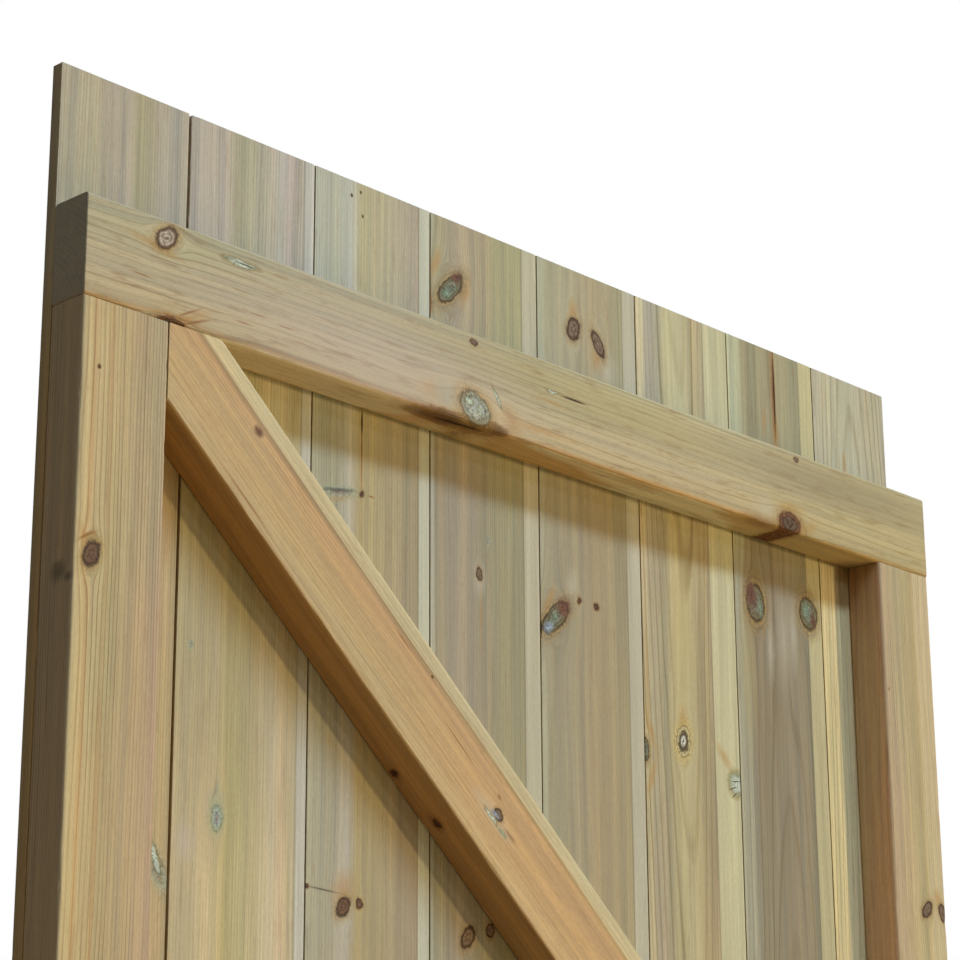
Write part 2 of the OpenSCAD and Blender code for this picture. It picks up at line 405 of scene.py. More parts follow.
    # Painted shade darkens the sides of each joint between two boards, on the tongue and in the
    # groove.
    for side in joints:
        joint_shade = add(tree, "SeparateXYZ", [local])
        joint_shade = add(tree, "Math", [joint_shade, side], operation="MULTIPLY")
        joint_shade = add(tree, "Math", [joint_shade, width / 2 - 0.3], operation="GREATER_THAN")
        colour = add(tree, "Mix", {0: joint_shade, 6: colour, 7: linear("#cbbd9e")}, output=2,
                     data_type="RGBA", blend_type="MULTIPLY")

    # Knots: mottled and cracked by a fine grit.
    height = add(tree, "Math", [line, 0.5, fibre], operation="MULTIPLY_ADD")
    if nearness:
        grit = add(tree, "TexNoise", {"Vector": grown, "Scale": 1 / 1.8, "Detail": 2})
        blotch = add(tree, "MapRange", {0: grit, 1: 0.3, 2: 0.7, 3: 0.62, 4: 1.38})
        cracks = add(tree, "TexNoise", {"Vector": grown, "Scale": 1 / 4, "Detail": 2})
        cracks = add(tree, "Math", [cracks, 0.5], operation="SUBTRACT")
        cracks = add(tree, "Math", [cracks], operation="ABSOLUTE")
        cracks = add(tree, "MapRange", {0: cracks, 1: 0.004, 2: 0.035, 3: 0.55, 4: 1.0})
        blotch = add(tree, "Math", [blotch, cracks], operation="MULTIPLY")
        fade = add(tree, "TexNoise", {"Vector": grown, "Scale": 1 / 9, "Detail": 1})
        fade = add(tree, "MapRange", {0: fade, 1: 0.36, 2: 0.54, 3: 0.35, 4: 1.0})
        nudge = add(tree, "MapRange", {0: grit, 1: 0.3, 2: 0.7, 3: -0.02, 4: 0.02})
    for look in KNOT_LOOKS:
        if look not in nearness:
            continue
        scaled = add(tree, "Math", [nearness[look], 1 / KNOT_REACH, nudge],
                     operation="MULTIPLY_ADD")
        stops = [(radii / KNOT_REACH, tint, cover) for radii, tint, cover in KNOT_LOOKS[look]]
        core, cover = add(tree, "ValToRGB", [scaled], stops=stops).node.outputs
        if look not in STAINS:
            core = add(tree, "VectorMath", [core, blotch], operation="MULTIPLY")
            worn = add(tree, "MapRange", {0: nearness[look], 1: 0.7, 2: 0.9, 3: 1.0})
            worn = add(tree, "Math", [worn, fade], operation="MAXIMUM")
            cover = add(tree, "Math", [cover, worn], operation="MULTIPLY")
        colour = add(tree, "Mix", {0: cover, 6: colour, 7: core}, output=2, data_type="RGBA")
        if look in TURNS_GRAIN:
            bulge = add(tree, "MapRange", {0: nearness[look], 1: 0.8, 2: 1.1, 3: 0.8, 4: 0.0})
            height = add(tree, "Math", [height, bulge], operation="ADD")

    # Sawn ends drink more of the treatment. Faces that look one of the given ways are tinted:
    # painted shade on the outer edges of the leaf and on the brace's underside, painted warm light
    # on the hanging stile's inner face.
    facing = add(tree, "TexCoord", output="Normal")
    grain_way = place.to_3x3() @ Vector((0, 0, 1))
    end = add(tree, "VectorMath", [facing, grain_way], output="Value", operation="DOT_PRODUCT")
    end = add(tree, "Math", [end], operation="ABSOLUTE")
    end = add(tree, "MapRange", {0: end, 1: 0.6, 2: 0.9, 3: 0.0, 4: 0.5})
    colour = add(tree, "Mix", {0: end, 6: colour, 7: linear("#aeb0a0")}, output=2, data_type="RGBA")
    for way, tint in sides:
        edge = add(tree, "VectorMath", [facing, way], output="Value", operation="DOT_PRODUCT")
        edge = add(tree, "MapRange", {0: edge, 1: 0.5, 2: 0.9})
        colour = add(tree, "Mix", {0: edge, 6: colour, 7: (*tint, 1)}, output=2, data_type="RGBA",
                     blend_type="MULTIPLY")

    bump = add(tree, "Bump", {"Strength": 0.4, "Distance": 0.4 * MM, "Height": height})
    rough = add(tree, "MapRange", {0: fibre, 3: 0.62, 4: 0.82})
    surface = add(tree, "BsdfPrincipled", {"Base Color": colour, "Roughness": rough,
                                           "Specular IOR Level": 0.2, "Normal": bump})
    add(tree, "OutputMaterial", [surface])
    return material


def fit(piece, finish):
    """Gives a piece its finish and puts it in the place of the CAD node that shares its name."""
    node = piece.name.replace("_wood", "").replace("_steel", "")
    piece.data.materials.append(finish)
    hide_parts(node)
    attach(piece, "root")


def frame_place(node, turn=0.0):
    """Where a frame timber lies: its middle, with its grain turned from upright, in degrees."""
    low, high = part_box(node)
    return Matrix.Translation((low + high) / 2) @ Matrix.Rotation(math.radians(turn), 4, "Y")


TIMBER = planed_section(TIMBER_WIDTH, TIMBER_THICKNESS, ARRIS_RADIUS)

# Across counts downwards on a rail, and along counts from its middle towards the hanging edge.
place = frame_place("top_rail", 90)
low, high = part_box("top_rail")
rail = finished("top_rail_wood", sawn_length(
    TIMBER, (high.x - low.x) / MM, place, 1,
    chips=[(35, -16, -380, 5, 15, 1.6), (35, -16, -112, 5, 34, 1.6), (35, -16, 232, 5, 30, 1.4),
           (35, -16, 287, 4, 5, 1.2)]))
fit(rail, treated_pine(
    "treated_pine_top_rail", place, TIMBER_WIDTH, pith=(52, 40), lean=(0.12, 0.45), ring=3.4,
    contrast=0.6, late="#93804f", sway=(9, 300), fleck=0.65, silk=0.12,
    # The darker end, facing -X, is painted shade.
    sides=[((-1, 0, 0), (0.51, 0.50, 0.49))],
    # The orange bands at 68 and 69.6 mm are a painted highlight on the lower arris, and the pale
    # last band is painted light on the underside.
    bands=[(0, "#b7aa86"), (12, "#b4a784"), (26, "#bdac86"), (46, "#c1ad87"), (65, "#c1a87c"),
           (68, "#c4985f"), (69.6, "#cba069"), (70, "#e8dcc0")],
    knots=[("blush", 12, -200, 30, 110, 0), ("straw", 0, 400, 50, 150, 0),
           ("ringed", -22, -392, 7, 10.5, -42), ("honey", -14, -402, 3, 22, 10),
           ("resin", -23, -328, 2.8, 15, 0), ("slit", -23, -324, 0.45, 8, 2),
           ("plum", 36, -385, 5.5, 13, 0, -16, 7, 0), ("honey", 27, -370, 3, 20, -25),
           ("rust", 29, -366, 1, 15, -22), ("rust", 24, -372, 0.8, 12, -28),
           ("rust", 18, -325, 0.7, 7, 0), ("rust", 9, -412, 0.6, 9, 0),
           ("rust", 9, -312, 0.6, 9, 0), ("rust", 11, -287, 0.6, 8, 0),
           ("sage", 22, -103, 12, 17, 20), ("umber", 35, -122, 6, 46, 0, -10, 11, 0),
           ("umber", 33, -84, 5, 16, 0, -16, 6, 0), ("resin", 18, -110, 3, 5, 30),
           ("resin", 24, -98, 2, 4, 60), ("mist", 19, -132, 9, 12, 0),
           ("honey", 19, -147, 7, 14, 0), ("honey", 22, -64, 9, 12, 50),
           ("resin", 8, -80, 1.2, 9, 56), ("honey", 22, -40, 3, 35, 0),
           ("straw", -14, 60, 16, 150, 2), ("shade", -16, 330, 13, 110, 0),
           # The honey stain along the left of the underside is painted shade, and the pale stains
           # along its right are painted light.
           ("honey", 39, -290, 6, 150, 0, 0, 30), ("pale", 39, 300, 6, 170, 0, 4, 17),
           ("pale", 39, 420, 6, 70, 0, 4, 17), ("slit", 36, -116, 3, 30, 0, -9, 2.2, 3),
           ("bark", -28, -104.5, 2.4, 4, 0), ("resin", -11.5, -19.5, 1.4, 7, 0),
           ("slit", -11, 3.5, 0.9, 14, 0), ("honey", -3, -22, 1.6, 18, 4),
           ("plum", 28, 265.5, 9.5, 14.5, 0), ("pale", 24, 235, 8, 13, 0),
           ("slit", 27, 263, 0.7, 6, 50), ("slit", 29, 268, 0.7, 6, -40),
           ("slit", 24, 270, 0.6, 4, 10), ("rust", 35, 232, 6, 22, 0, -13, 10, 0),
           ("rust", 29, 286, 0.7, 9, 60), ("honey", 14, 268, 4, 18, 0),
           ("honey", 26, 292, 5, 12, -20), ("bark", -29, 277.5, 2, 3.5, 0)],
    seed=1.3))


# ----------------------------------------------------------------------------
# Stiles: two uprights of the same planed timber between the rails, screwed through the rails into
# their ends. The lock stile is cut from wide-ringed wood, the hanging stile from closer wood.

for node, seed, figure in [
    ("lock_stile", 2, dict(
        pith=(-50, 40), lean=(0.06, 0.08), ring=2.0, contrast=0.75, late="#a06a3c", sway=(6, 240),
        # The darker outer face, facing -X, is painted shade.
        sides=[((-1, 0, 0), (0.58, 0.58, 0.65))],
        bands=[(0, "#d2b983"), (8, "#d0b57e"), (10, "#cba166"), (14, "#d0b580"), (21, "#ccb079"),
               (24, "#c89e64"), (27, "#cbb07a"), (45, "#c6a87a"), (62, "#c4a37c"), (70, "#c4a080")],
        knots=[("russet", -21, 563, 6, 9.5, 25), ("honey", -28, 574, 3, 8, -25),
               ("rust", -25, 574, 1.2, 8, 60), ("pin", -21, 685, 1.2, 1.6, 0),
               ("smoke", -36, 552, 3, 6, 0, -2, 6), ("smoke", -36, 547, 2.5, 3, 0, -12, 4),
               ("plum", 10, -210, 7, 10, 10), ("pin", -12, -640, 3, 5, 0)])),
    ("hanging_stile", 3, dict(
        pith=(120, 40), lean=(0.1, -0.3), ring=2.6, contrast=0.5,
        # The darker hanging edge, facing +X, is painted shade; the warmer inner face, facing -X, is
        # painted warm light.
        sides=[((1, 0, 0), (0.76, 0.72, 0.64)), ((-1, 0, 0), (1.1, 0.92, 0.82))],
        bands=[(0, "#bd9f7a"), (8, "#c2a480"), (25, "#c6ab7e"), (40, "#c9b07c"), (46, "#c6a870"),
               (50, "#d7be90"), (70, "#d6bd90")],
        knots=[("rust", -30, 621, 1.2, 2, 30), ("bark", 8, 443, 5.5, 9, 48),
               ("bark", 30, 442, 5.5, 7.5, -30, -16, 15), ("honey", 24, 454, 5, 7, -20),
               ("slate", -8, -95, 7, 11, -6), ("pin", 18, -480, 3, 4, 0)])),
]:
    place = frame_place(node)
    low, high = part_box(node)
    stile = finished(node + "_wood", sawn_length(TIMBER, (high.z - low.z) / MM, place, seed))
    fit(stile, treated_pine("treated_pine_" + node, place, TIMBER_WIDTH, seed=seed * 1.7, **figure))


# ----------------------------------------------------------------------------
# Middle and bottom rails: the ledges that the boards are also nailed to. The middle one fits
# between the stiles and the bottom one runs under both, like the top rail turned over.

for node, seed, figure in [
    ("middle_rail", 4, dict(
        pith=(-70, 24), lean=(0.2, 0.4), ring=3.1, contrast=0.5,
        bands=[(0, "#c3b089"), (30, "#bba985"), (70, "#b9aa82")],
        knots=[("plum", -6, -215, 8, 11, 5), ("pin", 16, 40, 3, 5, 0),
               ("sage", 20, 255, 7, 11, -8)])),
    ("bottom_rail", 5, dict(
        pith=(58, 30), lean=(-0.2, 0.5), ring=3.5, contrast=0.55,
        bands=[(0, "#bdb08a"), (35, "#c0ae8a"), (70, "#bda882")],
        knots=[("plum", 14, -330, 8, 10, 0), ("honey", -6, -80, 5, 20, 6),
               ("slate", -18, 120, 7, 12, 10), ("pin", 8, 350, 3, 4, 0)])),
]:
    place = frame_place(node, 90)
    low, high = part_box(node)
    ledge = finished(node + "_wood", sawn_length(TIMBER, (high.x - low.x) / MM, place, seed))
    fit(ledge, treated_pine("treated_pine_" + node, place, TIMBER_WIDTH, seed=seed * 1.7, **figure))


# ----------------------------------------------------------------------------
# Braces: one timber across each panel, falling towards the hanging side, cut to fit tight in the
# corners with a short level seat under the rail. Warm heartwood with a paler sapwood edge.

BRACE_SEAT = 46


def trimmed(shape, middle, size):
    """Cuts a timber off at the four sides of the panel it fits in, and closes the cuts."""
    for axis in (0, 2):
        for way in (-1, 1):
            plane, normal = middle.copy(), Vector()
            plane[axis] += way * size[axis] / 2
            normal[axis] = way
            everything = shape.verts[:] + shape.edges[:] + shape.faces[:]
            cut = bmesh.ops.bisect_plane(shape, geom=everything, plane_co=plane, plane_no=normal,
                                         clear_outer=True)["geom_cut"]
            edges = [part for part in cut if isinstance(part, bmesh.types.BMEdge)]
            bmesh.ops.contextual_create(shape, geom=edges)
    return shape


for node, seed, figure in [
    ("upper_brace", 6, dict(
        pith=(80, 34), lean=(0.1, 0.1), ring=2.3, contrast=0.26,
        # The darker underside is painted shade.
        sides=[((-0.66, 0, -0.75), (0.83, 0.73, 0.60))],
        bands=[(0, "#ddc692"), (12.4, "#dac290"), (13.2, "#a37f4e"), (14.6, "#b18855"),
               (17, "#cd9c67"), (50, "#d3a367"), (66, "#d6ae77"), (70, "#c7995f")],
        knots=[("bark", 2, -107, 4, 5, 0), ("pale", 6, -110, 5, 18, 0),
               ("resin", 8, -112, 1.6, 8, 0), ("blue", 4, -110, 2, 6, 0),
               ("fern", 8, -96, 2.5, 6, 0), ("rust", 4, -90, 1.5, 7, 0),
               ("rust", -9, -115, 1.5, 2, 0), ("rust", -17, -247, 0.7, 10, 0),
               ("pin", -20, -213, 1, 1.4, 0), ("wine", -15, -425, 3, 4, 0),
               ("rust", 28, -402, 0.7, 28, 0), ("pin", 36, -132, 3, 5.5, 0, 3, 4),
               ("pin", 36, -178, 2.6, 4.5, 0, 10, 4), ("rust", -6, -166, 0.5, 19, 1),
               ("plum", -12, 230, 6, 9, 0)])),
    ("lower_brace", 7, dict(
        pith=(-75, 30), lean=(0.1, -0.2), ring=2.6, contrast=0.42,
        bands=[(0, "#c6aa78"), (30, "#c8a878"), (48, "#c4a576"), (52, "#c9b88c"), (70, "#c9ba8e")],
        knots=[("plum", 6, -260, 6, 9, 6), ("pin", -15, 60, 3, 5, 0),
               ("slate", 10, 300, 5, 8, -5)])),
]:
    low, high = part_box(node)
    size, middle = high - low, (low + high) / 2
    seat_span = size.x - 2 * BRACE_SEAT * MM
    corner_to_corner = math.hypot(seat_span, size.z)
    slant = math.acos(TIMBER_WIDTH * MM / corner_to_corner) - math.atan2(seat_span, size.z)
    place = frame_place(node, 90 + math.degrees(slant))
    uncut = sawn_length(TIMBER, math.hypot(size.x, size.z) / MM + TIMBER_WIDTH, place, seed)
    brace = finished(node + "_wood", trimmed(uncut, middle, size))
    fit(brace, treated_pine("treated_pine_" + node, place, TIMBER_WIDTH, seed=seed * 1.7,
                            late="#b5824e", **figure))


# ----------------------------------------------------------------------------
# Boards: eight tongue-and-groove matchboards nailed on from the +Y side, where their edges make
# V joints. The outer two are ripped down to width. Each is planed pine with its own figure, and
# most have a pale sapwood margin on the tongued edge.

BOARD_THICKNESS = 11.5
TONGUE_LENGTH = 6
TONGUE_THICKNESS = 3.6
GROOVE_CLEARANCE = 0.4
VEE = 2.5
BACK_ARRIS = 0.25
BOARD_STEP = 6.5


def matchboard_section(width, grooved, tongued, shrunk):
    """Outline of a board about its middle, back face at the lower depth, anticlockwise. A board
    may have shrunk away from its neighbour, which opens the joint on the back."""
    t, w, half = BOARD_THICKNESS, width, BOARD_THICKNESS / 2
    groove = (TONGUE_THICKNESS + GROOVE_CLEARANCE) / 2
    tongue = TONGUE_THICKNESS / 2
    outline = [(shrunk + BACK_ARRIS, 0), (w - BACK_ARRIS, 0), (w, BACK_ARRIS)]
    if tongued:
        outline += [(w, half - tongue), (w + TONGUE_LENGTH, half - tongue),
                    (w + TONGUE_LENGTH, half + tongue), (w, half + tongue)]
    outline += [(w, t - VEE), (w - VEE, t), (VEE, t), (0, t - VEE)]
    if grooved:
        deep = TONGUE_LENGTH + 1
        outline += [(0, half + groove), (deep, half + groove), (deep, half - groove),
                    (shrunk, half - groove)]
    outline += [(shrunk, BACK_ARRIS)]
    return subdivided([(a - w / 2, d - half) for a, d in outline], BOARD_STEP)


BOARD_FIGURES = [
    dict(pith=(-150, 12), lean=(0, 0.15), ring=2.3, contrast=0.36,
         # The darker outer edge, facing -X, is painted shade.
         aged=(1.15, 0.97, 0.7), sides=[((-1, 0, 0), (0.59, 0.57, 0.48))],
         bands=[(0, "#b1a48e"), (25, "#b3a48b"), (42, "#b6a691"), (60, "#b7a993"), (66, "#a89e7a"),
                (76, "#aca081"), (90, "#b1a797"), (108, "#b0a695")],
         knots=[("haze", 46, 385, 6, 17, -30), ("resin", 44.5, 391, 2.6, 12, -22),
                ("rust", 48.5, 391, 1, 11, -38), ("pale", 50, 380, 2, 9, -30),
                ("honey", 53, 372, 2, 12, -30), ("pin", 10, -120, 3, 4, 0),
                ("plum", -20, -520, 6, 9, 0)]),
    dict(pith=(-180, 20), lean=(0, 0.1), ring=2.6, contrast=0.36, strip=(9.5, "#bfbaaa"),
         aged=(1.19, 1.11, 0.82), shrunk=0.6, chips=[(-56, -6, 900, 5, 210, 1.5)],
         bands=[(0, "#bcaf9f"), (34, "#bdaf9f"), (47, "#b3a886"), (54, "#b7ae92"), (72, "#baaf9f"),
                (84, "#c3bab3"), (92, "#c0afa8"), (100, "#b6a99b"), (105, "#c0b8ad"),
                (114, "#bfb7a7")],
         knots=[("mist", -19.5, 428, 7, 14, 0), ("dull", -19.5, 423, 5, 9, 0),
                ("mist", -19.5, 440, 2, 9, 0), ("haze", -44.5, 532, 2.5, 3, 20),
                ("pale", -23.5, 528, 0.6, 22, 0), ("blush", -46, 405, 7, 9, 0),
                # The wide shade stain where the brace crosses is painted shadow of the brace.
                ("shade", 0, 570, 60, 110, 0), ("plum", 18, -60, 6, 8, -15),
                ("slate", -26, -470, 8, 11, 20)]),
    dict(pith=(170, 16), lean=(0, -0.12), ring=2.9, contrast=0.36, silk=0.11,
         strip=(11.5, "#c7c4aa"), aged=(0.86, 0.8, 0.71),
         bands=[(0, "#c1c2af"), (22, "#bdbba9"), (36, "#cac8c0"), (44, "#beb088"), (66, "#beb28e"),
                (84, "#b7aa91"), (100, "#aea08e"), (114, "#aea188")],
         knots=[("pin", -9.5, 667, 2.4, 3, 35), ("rust", -0.5, 667, 3, 0.8, 0),
                ("slit", -10, 719, 1, 10, 0), ("slit", -10, 704, 0.4, 12, 0),
                ("rust", -10, 690, 0.8, 22, 0), ("haze", -31, 664, 4, 17, 82),
                ("smoke", -32, 665, 1.3, 14, 80), ("rust", -30, 663, 0.8, 13, 78),
                ("honey", -29, 660, 2.4, 12, 72), ("honey", -23, 391, 9, 12, 35),
                ("russet", -23.4, 379, 5.5, 8, 35), ("russet", -8.4, 383, 3.2, 3.6, 0),
                ("pin", -56.7, 389, 2.4, 2, 0), ("smoke", -42, 388.5, 13, 0.6, 3),
                ("pin", -22, 888, 1.1, 1.4, 0), ("pin", -13, 893, 1, 1.2, 0),
                ("pin", -11, 875, 1, 1.2, 0), ("slate", 22, -140, 7, 12, -30),
                ("pin", -4, -610, 3, 4, 0)]),
    dict(pith=(-210, 30), lean=(0, 0.1), ring=2.5, contrast=0.34, silk=0.11, strip=(17, "#c2b89b"),
         aged=(0.85, 0.87, 0.92),
         bands=[(0, "#c1baa1"), (4, "#c1baa1"), (5.5, "#aa9979"), (30, "#b09f85"), (60, "#ad9979"),
                (76, "#ad9f76"), (96, "#a99c73"), (114, "#b5a785")],
         knots=[("slate", -37, 845, 7.5, 17, 45), ("wine", -30, 856, 4, 6, 45),
                ("fern", -41, 841, 4, 7, 45), ("honey", -52, 862, 4, 12, 20),
                ("honey", -21, 846, 4, 12, 20), ("rust", -57, 829, 1.6, 9, 0),
                ("pale", -7.3, 630, 5, 10, 0), ("bark", -7.3, 633.5, 3.2, 5, 0),
                ("honey", -5.5, 604, 0.8, 26, 0), ("haze", 2.7, 660, 2, 3, 0),
                ("bark", -20.5, 371, 5.5, 9.6, 39), ("bark", 2.1, 378.6, 4, 5, 10),
                ("plum", 12, -250, 7, 9, 0), ("pin", -30, -560, 3, 4, 0)]),
    dict(pith=(-30, -95), lean=(0.3, 0.1), ring=2.7, contrast=0.20, silk=0.11,
         strip=(16, "#bfb69c"), aged=(0.87, 0.84, 0.83),
         bands=[(0, "#c0bda4"), (6, "#bfba9d"), (8, "#aba286"), (40, "#ada283"), (60, "#ae9c7a"),
                (96, "#ab9f7a"), (114, "#b7ae92")],
         knots=[("honey", -16, 866, 5, 9, 0), ("bark", -16, 851, 7.5, 10, 25),
                ("honey", 12, 832, 7, 9, -30), ("bark", 12.8, 846, 5.5, 12, -33),
                ("pale", 24, 826, 9, 12, 0), ("slate", -41, 617, 8, 19, 47),
                ("wine", -32, 626, 7, 9, 47), ("blue", -49, 608, 4.5, 7, 47),
                ("fern", -41, 617, 3.5, 6, 47), ("honey", -48, 629, 3, 12, 30),
                ("pale", -23, 640, 5, 13, 10), ("slit", -57, 606, 0.8, 7, 0),
                ("pin", -14, 634.5, 2.5, 3.2, 25), ("pin", 4.8, 634, 3, 3.4, -30),
                ("slate", 16, -320, 8, 11, 10), ("plum", -18, -40, 5, 8, 0)]),
    dict(pith=(-12, 62), lean=(1.1, 0.3), ring=2.9, contrast=0.80, strip=(31, "#c5bd94"),
         aged=(0.99, 0.91, 0.85),
         bands=[(0, "#dacca2"), (6, "#d9cba3"), (9, "#bcb39c"), (20, "#ada38f"), (34, "#beb68c"),
                (52, "#c7bf96"), (72, "#b3a47c"), (90, "#b8a98c"), (114, "#beb68c")],
         knots=[("honey", -11.6, 562, 6, 11, 0), ("eye", -11.6, 546, 8.4, 12.5, 8),
                ("honey", 38, 541, 4, 13, -45), ("resin", 52.4, 522, 9, 9.5, 0),
                ("slit", 48, 518, 0.4, 6, 70), ("slit", 52, 524, 0.4, 6, 82),
                ("slit", 50, 513, 0.4, 5, 55), ("slate", -57.5, 533, 4.5, 9, 0),
                ("honey", -50, 548, 3, 20, -20), ("honey", -50, 514, 3, 16, 20),
                ("honey", -53, 590, 1.1, 50, -1), ("shade", 14, 600, 3, 70, 1),
                ("shade", 22, 470, 4, 60, 1), ("straw", -8, 640, 9, 60, 0),
                ("plum", 20, -180, 6, 9, 20), ("pin", -28, -660, 3, 4, 0)]),
    dict(pith=(10, -110), lean=(0.5, -0.2), ring=2.6, contrast=0.48, strip=(19, "#c4b789"),
         aged=(0.81, 0.75, 0.82),
         bands=[(0, "#c8caa4"), (14, "#c0c09a"), (18, "#aba37f"), (24, "#988d69"), (44, "#9b906f"),
                (62, "#a69b78"), (90, "#97926f"), (114, "#ada47b")],
         knots=[("honey", 5, 828, 3, 14, 0), ("honey", -10, 835, 2, 12, 0),
                ("rust", 4, 862, 2.6, 46, 0), ("slit", 5, 862, 1.3, 38, 0),
                ("slate", -31, 675, 12, 16, 0), ("wine", -36, 680, 7, 12, -12),
                ("fern", -25, 671, 4, 8, -15), ("rust", -18, 660, 0.6, 8, -50),
                ("rust", -22, 655, 0.6, 8, -25), ("slate", 40, 679, 12, 14, -12),
                ("fern", 37, 682, 6, 8, -15), ("wine", 46, 674, 3, 8, -15),
                ("pale", 5, 650, 6, 30, 0), ("pale", 18, 656, 4, 22, 0),
                ("pale", -13, 640, 4, 20, 0), ("shade", 0, 480, 8, 120, 0),
                ("shade", -22, 560, 6, 80, 0), ("straw", -44, 620, 8, 50, 0),
                ("slate", -10, -400, 8, 11, 0), ("pin", 26, 120, 3, 4, 0)]),
    dict(pith=(8, 66), lean=(-1.0, -0.2), ring=2.6, contrast=0.65, aged=(1.38, 1.24, 0.95),
         # The darker edge facing +X, by the hanging stile, is painted shade.
         sides=[((1, 0, 0), (0.76, 0.72, 0.64))],
         bands=[(0, "#c5bb9f"), (30, "#c5be9f"), (60, "#c7bea5"), (85, "#b9ae93"),
                (103, "#c2b59f")],
         knots=[("honey", -9, 822, 3, 10, 0), ("plum", -16, -60, 5, 8, 0),
                ("slate", 18, -500, 6, 9, -10)]),
]

for number, figure in enumerate(BOARD_FIGURES, 1):
    node = f"board_{number}"
    low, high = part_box(node)
    grooved, tongued = number > 1, number < len(BOARD_FIGURES)
    width = (high.x - low.x) / MM - (TONGUE_LENGTH if tongued else 0)
    middle = Vector((low.x + width / 2 * MM, (low.y + high.y) / 2, (low.z + high.z) / 2))
    place = Matrix.Translation(middle)
    section = matchboard_section(width, grooved, tongued, figure.pop("shrunk", 0.0))
    board = finished(node + "_wood", sawn_length(
        section, (high.z - low.z) / MM, place, 10 + number, wander=0.02, knocks=0.3,
        chips=figure.pop("chips", ())))
    # The sides that meet a neighbour get painted shade in the joint.
    joints = [side for side, meets in ((-1, grooved), (1, tongued)) if meets]
    fit(board, treated_pine("treated_pine_" + node, place, width, seed=3.1 * number, joints=joints,
                            **figure))


# ----------------------------------------------------------------------------
# Nails: galvanised wire nails driven from the boarded side into the rails, stiles and braces.
# Only their heads show, slightly domed, a little crooked and dulled by the zinc.

HEAD_SIDES = 28
HEAD_PROFILE = [(1.0, 0.0), (1.0, 0.45), (0.93, 0.66), (0.7, 0.84), (0.35, 0.95)]
SPANGLE = 1.2


def galvanised_steel():
    """Hot-dipped zinc: a dull grey with soft lighter and darker spangles."""
    material = bpy.data.materials.new("galvanised_steel")
    material.use_nodes = True
    tree = material.node_tree
    tree.nodes.clear()
    where = add(tree, "TexCoord", output="Object")
    spangle = add(tree, "TexVoronoi", {"Vector": where, "Scale": 1 / (SPANGLE * MM)},
                  output="Color")
    spangle = add(tree, "SeparateXYZ", [spangle])
    colour = add(tree, "ValToRGB", [spangle], stops=[(0, "#84888a"), (1, "#a9adac")])
    rough = add(tree, "MapRange", {0: spangle, 3: 0.42, 4: 0.6})
    surface = add(tree, "BsdfPrincipled", {"Base Color": colour, "Metallic": 1.0,
                                           "Roughness": rough})
    add(tree, "OutputMaterial", [surface])
    return material


ZINC = galvanised_steel()


def nail_heads(node):
    """Domed heads in the places of a CAD nail node, which is found as its separate discs. The
    profile is (share of the radius, share of the height), from the board outwards."""
    source = bmesh.new()
    source.from_mesh(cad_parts[node].data)
    bmesh.ops.remove_doubles(source, verts=source.verts[:], dist=0.01 * MM)
    waiting = set(source.verts)
    heads = bmesh.new()
    for first in source.verts:
        if first not in waiting:
            continue
        waiting.remove(first)
        island, border = set(), [first]
        while border:
            vert = border.pop()
            island.add(vert)
            for edge in vert.link_edges:
                other = edge.other_vert(vert)
                if other in waiting:
                    waiting.remove(other)
                    border.append(other)
        low = Vector([min(v.co[k] for v in island) for k in range(3)])
        high = Vector([max(v.co[k] for v in island) for k in range(3)])
        middle, radius, thick = (low + high) / 2, (high.x - low.x) / 2, high.y - low.y
        lean = 0.1 * noise.noise(middle * 37)
        rings = []
        for reach, rise in HEAD_PROFILE:
            ring = []
            for k in range(HEAD_SIDES):
                turn = 2 * math.pi * k / HEAD_SIDES
                x, z = reach * math.cos(turn), reach * math.sin(turn)
                y = low.y + thick * min(0.98, rise * (1 + lean * x))
                ring.append(heads.verts.new((middle.x + radius * x, y, middle.z + radius * z)))
            rings.append(ring)
        for outer, inner in zip(rings, rings[1:]):
            for k in range(HEAD_SIDES):
                j = (k + 1) % HEAD_SIDES
                heads.faces.new((outer[k], inner[k], inner[j], outer[j]))
        heads.faces.new(rings[0])
        heads.faces.new(rings[-1][::-1])
    source.free()
    bmesh.ops.recalc_face_normals(heads, faces=heads.faces[:])
    return heads


for node in sorted(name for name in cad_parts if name.startswith("nails_")):
    fit(finished(node + "_steel", nail_heads(node)), ZINC)


# ----------------------------------------------------------------------------
# Studio: a plain pale floor, a long cool lamp overhead that throws the shadows of the rails and
# braces on the boards, a small warm one low on the right, weak distant light that fills in from
# the sides, below and behind, and a white surround that only the camera and reflections see.

FLOOR_HALF = 40.0
FADE_FROM, FADE_TO = 1.2, 5.0


def pale_floor():
    """Matt off-white paint; to the camera it fades into the white surround further out."""
    material = bpy.data.materials.new("matt_floor_paint")
    material.use_nodes = True
    tree = material.node_tree
    tree.nodes.clear()
    seen = add(tree, "LightPath", output="Is Camera Ray")
    shade = add(tree, "Mix", {0: seen, 6: linear("#6b5136"), 7: linear("#e9e4da")}, output=2,
                data_type="RGBA")
    paint = add(tree, "BsdfDiffuse", {"Color": shade})
    glow = add(tree, "Emission", {"Color": linear("#ffffff"), "Strength": 1.0})
    where = add(tree, "TexCoord", output="Object")
    out = add(tree, "VectorMath", [where], output="Value", operation="LENGTH")
    fade = add(tree, "MapRange", {0: out, 1: FADE_FROM, 2: FADE_TO},
               interpolation_type="SMOOTHSTEP")
    fade = add(tree, "Math", [fade, seen], operation="MULTIPLY")
    surface = add(tree, "MixShader", {0: fade, 1: paint, 2: glow})
    add(tree, "OutputMaterial", [surface])
    return material


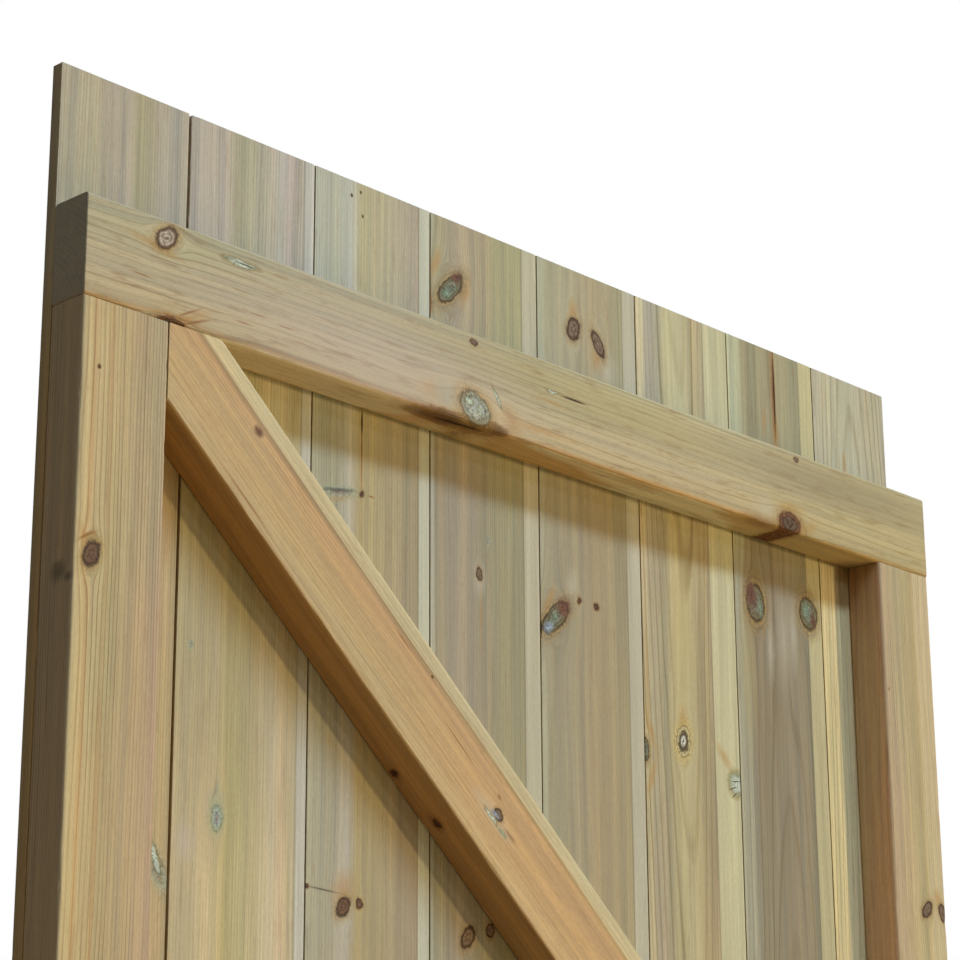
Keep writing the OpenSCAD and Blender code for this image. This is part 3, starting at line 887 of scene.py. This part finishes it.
floor_mesh = bpy.data.meshes.new("floor")
corners = [(-1, -1), (1, -1), (1, 1), (-1, 1)]
floor_mesh.from_pydata([(x * FLOOR_HALF, y * FLOOR_HALF, 0) for x, y in corners], [],
                       [(0, 1, 2, 3)])
floor_mesh.materials.append(pale_floor())
floor = bpy.data.objects.new("floor", floor_mesh)
floor.location = ((cad_box[0].x + cad_box[1].x) / 2, 0, cad_box[0].z)
bpy.context.scene.collection.objects.link(floor)

# The light from below passes through the floor.
floor.visible_shadow = False

# The level of a lamp is the brightness it gives a white upright surface at this point.
LIT_POINT = Vector((-0.45, 0, 0.5))

for lamp_name, spot, size, level, tint in [
    ("key", (0.14, -2.2, 3.39), (2.4, 0.3), 0.62, "#bbd9ff"),
    ("warm", (2.14, -3.7, 1.0), (0.3, 0.3), 0.281, "#ffe8b6"),
]:
    lamp = bpy.data.lights.new(lamp_name, "AREA")
    lamp.shape = "RECTANGLE"
    lamp.size, lamp.size_y = size
    reach = Vector(spot) - LIT_POINT
    lamp.energy = level * math.pi ** 2 * reach.length / -reach.y
    lamp.color = linear(tint)[:3]
    # The light doesn't fall off, so the foot of the leaf is lit as well as the top.
    lamp.use_nodes = True
    tree = lamp.node_tree
    tree.nodes.clear()
    even = add(tree, "LightFalloff", {"Strength": 1.0}, output=2)
    add(tree, "OutputLight", [add(tree, "Emission", {"Strength": even})])
    lamp_object = bpy.data.objects.new(lamp_name, lamp)
    lamp_object.location = spot
    lamp_object.rotation_euler = reach.to_track_quat("Z", "Y").to_euler()
    lamp_object.visible_camera = False
    bpy.context.scene.collection.objects.link(lamp_object)

for lamp_name, towards, level, softness, tint in [
    ("level", (0, -33, 14), 0.18, 3.0, "#e4f0ff"),
    ("left", (-33, -8, 20), 0.63, 50.0, "#ffffff"),
    ("low", (28, -33, -34), 0.94, 40.0, "#ffebaa"),
    ("rear", (18, 33, 30), 2.4, 6.0, "#ffffff"),
]:
    lamp = bpy.data.lights.new(lamp_name, "SUN")
    lamp.energy = level
    lamp.angle = math.radians(softness)
    lamp.color = linear(tint)[:3]
    lamp_object = bpy.data.objects.new(lamp_name, lamp)
    lamp_object.rotation_euler = Vector(towards).to_track_quat("Z", "Y").to_euler()
    bpy.context.scene.collection.objects.link(lamp_object)

world = bpy.data.worlds.new("white_surround")
world.use_nodes = True
tree = world.node_tree
tree.nodes.clear()
soft = add(tree, "Background", {"Color": linear("#ffffff"), "Strength": 0.02})
white = add(tree, "Background", {"Color": linear("#ffffff"), "Strength": 1.0})
seen = add(tree, "LightPath", output="Is Camera Ray")
mirrored = add(tree, "LightPath", output="Is Glossy Ray")
through = add(tree, "LightPath", output="Is Transmission Ray")
seen = add(tree, "Math", [seen, mirrored], operation="MAXIMUM")
seen = add(tree, "Math", [seen, through], operation="MAXIMUM")
add(tree, "OutputWorld", [add(tree, "MixShader", {0: seen, 1: soft, 2: white})])
bpy.context.scene.world = world

# The camera looks up at the top of the leaf from low down on the lock side.
EYE_POINT = (-1.909, -1.2905, 0.094)
HEADING = -46.72
TILT_UP = 17.76
ROLL = -0.30

camera = bpy.data.cameras.new("camera")
camera.lens = 103.2
camera.clip_end = 200
eye = bpy.data.objects.new("camera", camera)
eye.matrix_world = (Matrix.Translation(EYE_POINT)
                    @ Matrix.Rotation(math.radians(HEADING), 4, "Z")
                    @ Matrix.Rotation(math.radians(90 + TILT_UP), 4, "X")
                    @ Matrix.Rotation(math.radians(ROLL), 4, "Z"))
bpy.context.scene.collection.objects.link(eye)
bpy.context.scene.camera = eye
bpy.context.scene.view_settings.view_transform = "Standard"
